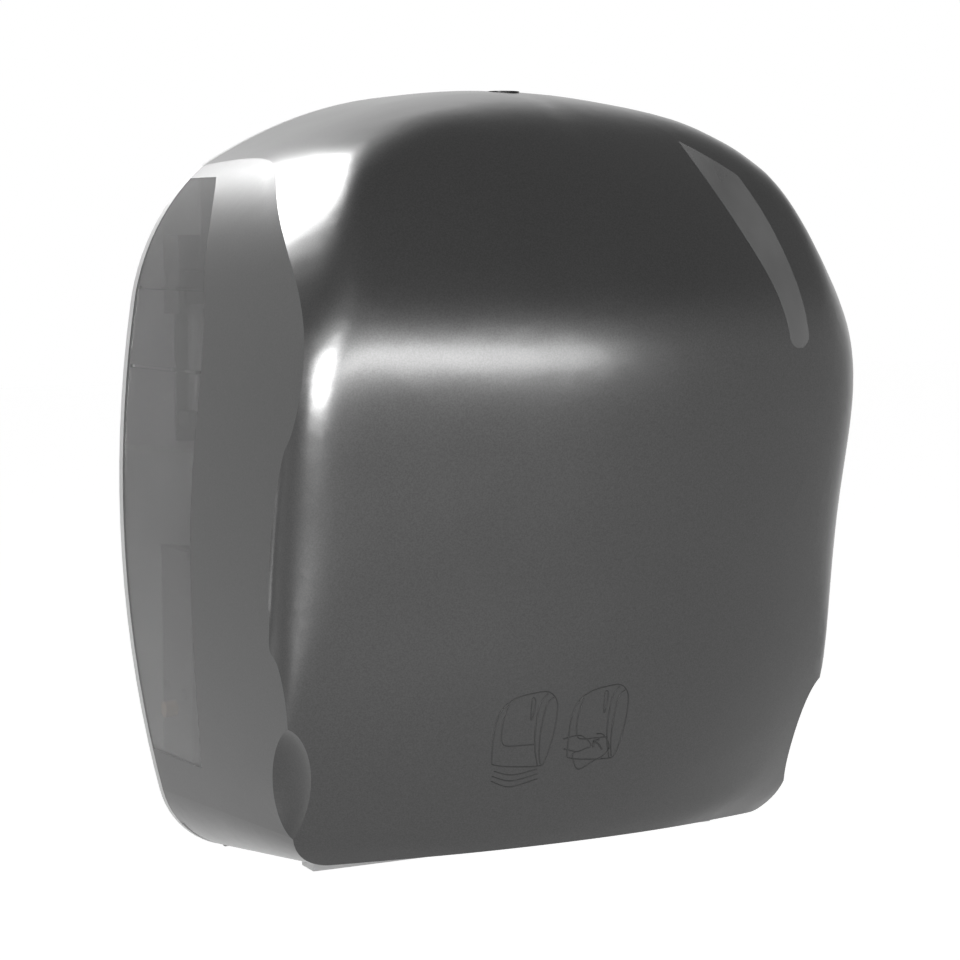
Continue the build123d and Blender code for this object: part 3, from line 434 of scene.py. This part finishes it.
# Floor, world, lamps and camera
def seen_directly(tree):
    """1 for camera, glossy and transmission rays, which see the backdrop as it is painted."""
    path = tree.nodes.new("ShaderNodeLightPath")
    total = path.outputs["Is Camera Ray"]
    for output in ("Is Glossy Ray", "Is Transmission Ray"):
        larger = tree.nodes.new("ShaderNodeMath")
        larger.operation = "MAXIMUM"
        tree.links.new(total, larger.inputs[0])
        tree.links.new(path.outputs[output], larger.inputs[1])
        total = larger.outputs["Value"]
    return total


def make_floor():
    corners = [(-floor_half, -floor_half), (floor_half, -floor_half),
               (floor_half, floor_half), (-floor_half, floor_half)]
    mesh = bpy.data.meshes.new("floor")
    mesh.from_pydata([(x, y, floor_height) for x, y in corners], [], [(0, 1, 2, 3)])
    floor = bpy.data.objects.new("floor", mesh)
    bpy.context.scene.collection.objects.link(floor)
    material, tree, shader = new_material("floor_white", grey(0.95), 0.9)
    shader.inputs["Specular IOR Level"].default_value = 0.1
    shader.inputs["Emission Color"].default_value = grey(1.0)
    glow = tree.nodes.new("ShaderNodeMath")
    glow.operation = "MULTIPLY"
    glow.inputs[1].default_value = floor_glow
    tree.links.new(seen_directly(tree), glow.inputs[0])
    tree.links.new(glow.outputs["Value"], shader.inputs["Emission Strength"])
    mesh.materials.append(material)


def make_world():
    """White backdrop, with a darker ceiling above and in front. Diffuse light sees one level."""
    world = bpy.data.worlds.new("studio")
    bpy.context.scene.world = world
    world.use_nodes = True
    tree = world.node_tree
    tree.nodes.clear()
    coordinates = tree.nodes.new("ShaderNodeTexCoord")
    split = tree.nodes.new("ShaderNodeSeparateXYZ")
    tree.links.new(coordinates.outputs["Generated"], split.inputs["Vector"])
    above = number_between(tree, split.outputs["Z"], 0.0, 1.0, *ceiling_height)
    ahead = number_between(tree, split.outputs["Y"], 1.0, 0.0, *ceiling_depth)
    ceiling = tree.nodes.new("ShaderNodeMath")
    ceiling.operation = "MULTIPLY"
    tree.links.new(above, ceiling.inputs[0])
    tree.links.new(ahead, ceiling.inputs[1])
    seen = between(tree, ceiling.outputs["Value"], grey(1.0), grey(ceiling_level), 0.0, 1.0)
    shown = tree.nodes.new("ShaderNodeBackground")
    tree.links.new(seen, shown.inputs["Color"])
    level = tree.nodes.new("ShaderNodeBackground")
    level.inputs["Color"].default_value = (1.0, 1.0, 1.0, 1.0)
    level.inputs["Strength"].default_value = world_level
    mix = tree.nodes.new("ShaderNodeMixShader")
    output = tree.nodes.new("ShaderNodeOutputWorld")
    tree.links.new(seen_directly(tree), mix.inputs["Fac"])
    tree.links.new(level.outputs["Background"], mix.inputs[1])
    tree.links.new(shown.outputs["Background"], mix.inputs[2])
    tree.links.new(mix.outputs["Shader"], output.inputs["Surface"])


def direction(azimuth, rise):
    """The unit vector from the object towards angles in radians, where azimuth 0 is the front."""
    flat = math.cos(rise)
    return Vector((math.sin(azimuth) * flat, -math.cos(azimuth) * flat, math.sin(rise)))


def make_lamp(name, azimuth, rise, distance, wide, high, power, card=True):
    """A soft rectangular lamp that faces the object from an azimuth, where 0 is the front.

    A card shows in gloss without lighting the colours, and any other lamp does the opposite."""
    away = direction(math.radians(azimuth), math.radians(rise))
    lamp = bpy.data.lights.new(name, "AREA")
    lamp.shape = "RECTANGLE"
    lamp.size = wide
    lamp.size_y = high
    lamp.energy = power
    holder = bpy.data.objects.new(name, lamp)
    holder.location = camera_aim + away * distance
    holder.rotation_euler = away.to_track_quat("Z", "Y").to_euler()
    holder.visible_camera = False
    holder.visible_diffuse = not card
    holder.visible_glossy = card
    bpy.context.scene.collection.objects.link(holder)


def make_camera():
    away = direction(camera_azimuth, camera_rise)
    data = bpy.data.cameras.new("camera")
    data.lens = camera_lens
    data.sensor_width = camera_sensor
    camera = bpy.data.objects.new("camera", data)
    camera.location = camera_aim + away * camera_distance
    camera.rotation_euler = away.to_track_quat("Z", "Y").to_euler()
    bpy.context.scene.collection.objects.link(camera)
    bpy.context.scene.camera = camera


make_floor()
make_world()
make_lamp("key", *key_lamp, card=False)
for card_name, card_place in gloss_cards.items():
    make_lamp(card_name, *card_place)
make_camera()

view = bpy.context.scene.view_settings
view.view_transform = "Standard"
